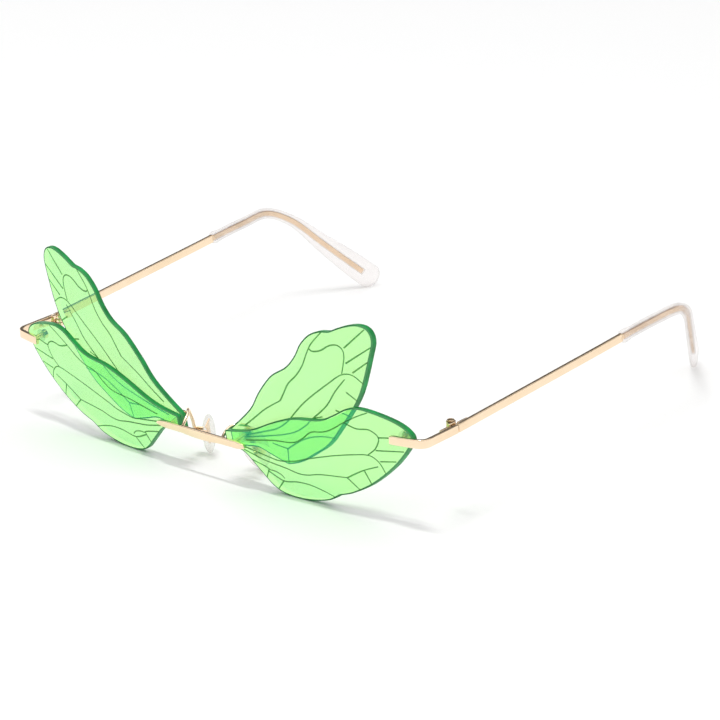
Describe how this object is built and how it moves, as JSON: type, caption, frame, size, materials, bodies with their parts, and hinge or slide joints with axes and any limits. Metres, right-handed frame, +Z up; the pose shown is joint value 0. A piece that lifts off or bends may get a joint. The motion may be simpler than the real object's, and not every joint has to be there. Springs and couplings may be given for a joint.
{
  "type": "wing-lens sunglasses",
  "caption": "Rimless costume sunglasses: see-through green insect-wing lenses on a thin pale gold bridge, with folding temples and rocking nose pads.",
  "frame": {"origin": "on the floor below the middle of the whole object's box, temples open", "axes": "+X to the wearer's left, +Y from the lenses back along the temples, +Z up"},
  "size_m": [0.15, 0.1462, 0.053],
  "materials": {
    "green_lens": "see-through light green polycarbonate, polished",
    "pale_gold": "bright pale gold plating on nickel silver",
    "screw_gold": "bright gold plated screw",
    "clear_plastic": "clear, polished acetate",
    "clear_silicone": "clear soft silicone"
  },
  "bodies": {
    "front": {"bridge": "pale_gold", "upper_wing_left": "green_lens", "lower_wing_left": "green_lens", "bridge_washer_left": "clear_plastic", "bridge_nut_left": "pale_gold", "end_piece_left": "pale_gold", "end_washer_left": "clear_plastic", "end_nut_left": "pale_gold", "front_hinge_leaf_left": "pale_gold", "hinge_screw_left": "screw_gold", "pad_arm_left": "pale_gold", "pad_screw_left": "screw_gold", "upper_wing_right": "green_lens", "lower_wing_right": "green_lens", "bridge_washer_right": "clear_plastic", "bridge_nut_right": "pale_gold", "end_piece_right": "pale_gold", "end_washer_right": "clear_plastic", "end_nut_right": "pale_gold", "front_hinge_leaf_right": "pale_gold", "hinge_screw_right": "screw_gold", "pad_arm_right": "pale_gold", "pad_screw_right": "screw_gold"},
    "temple_left": {"temple_left": "pale_gold", "temple_sleeve_left": "clear_plastic", "temple_hinge_leaf_left": "pale_gold"},
    "temple_right": {"temple_right": "pale_gold", "temple_sleeve_right": "clear_plastic", "temple_hinge_leaf_right": "pale_gold"},
    "nose_pad_left": {"nose_pad_left": "clear_silicone", "pad_core_left": "pale_gold"},
    "nose_pad_right": {"nose_pad_right": "clear_silicone", "pad_core_right": "pale_gold"}
  },
  "joints": [
    {"name": "temple_left_fold", "type": "hinge", "parent": "front", "child": "temple_left", "pos_m": [0.06867, -0.05399, 0.0244], "axis": [0, 0, 1], "range_deg": [0, 90]},
    {"name": "temple_right_fold", "type": "hinge", "parent": "front", "child": "temple_right", "pos_m": [-0.06867, -0.05399, 0.0244], "axis": [0, 0, 1], "range_deg": [-82, 0]},
    {"name": "nose_pad_left_rock", "type": "hinge", "parent": "front", "child": "nose_pad_left", "pos_m": [0.01066, -0.06139, 0.00658], "axis": [-0.3563, -0.8486, -0.3911], "range_deg": [-8, 8]},
    {"name": "nose_pad_right_rock", "type": "hinge", "parent": "front", "child": "nose_pad_right", "pos_m": [-0.01066, -0.06139, 0.00658], "axis": [0.3563, -0.8486, -0.3911], "range_deg": [-8, 8]}
  ]
}
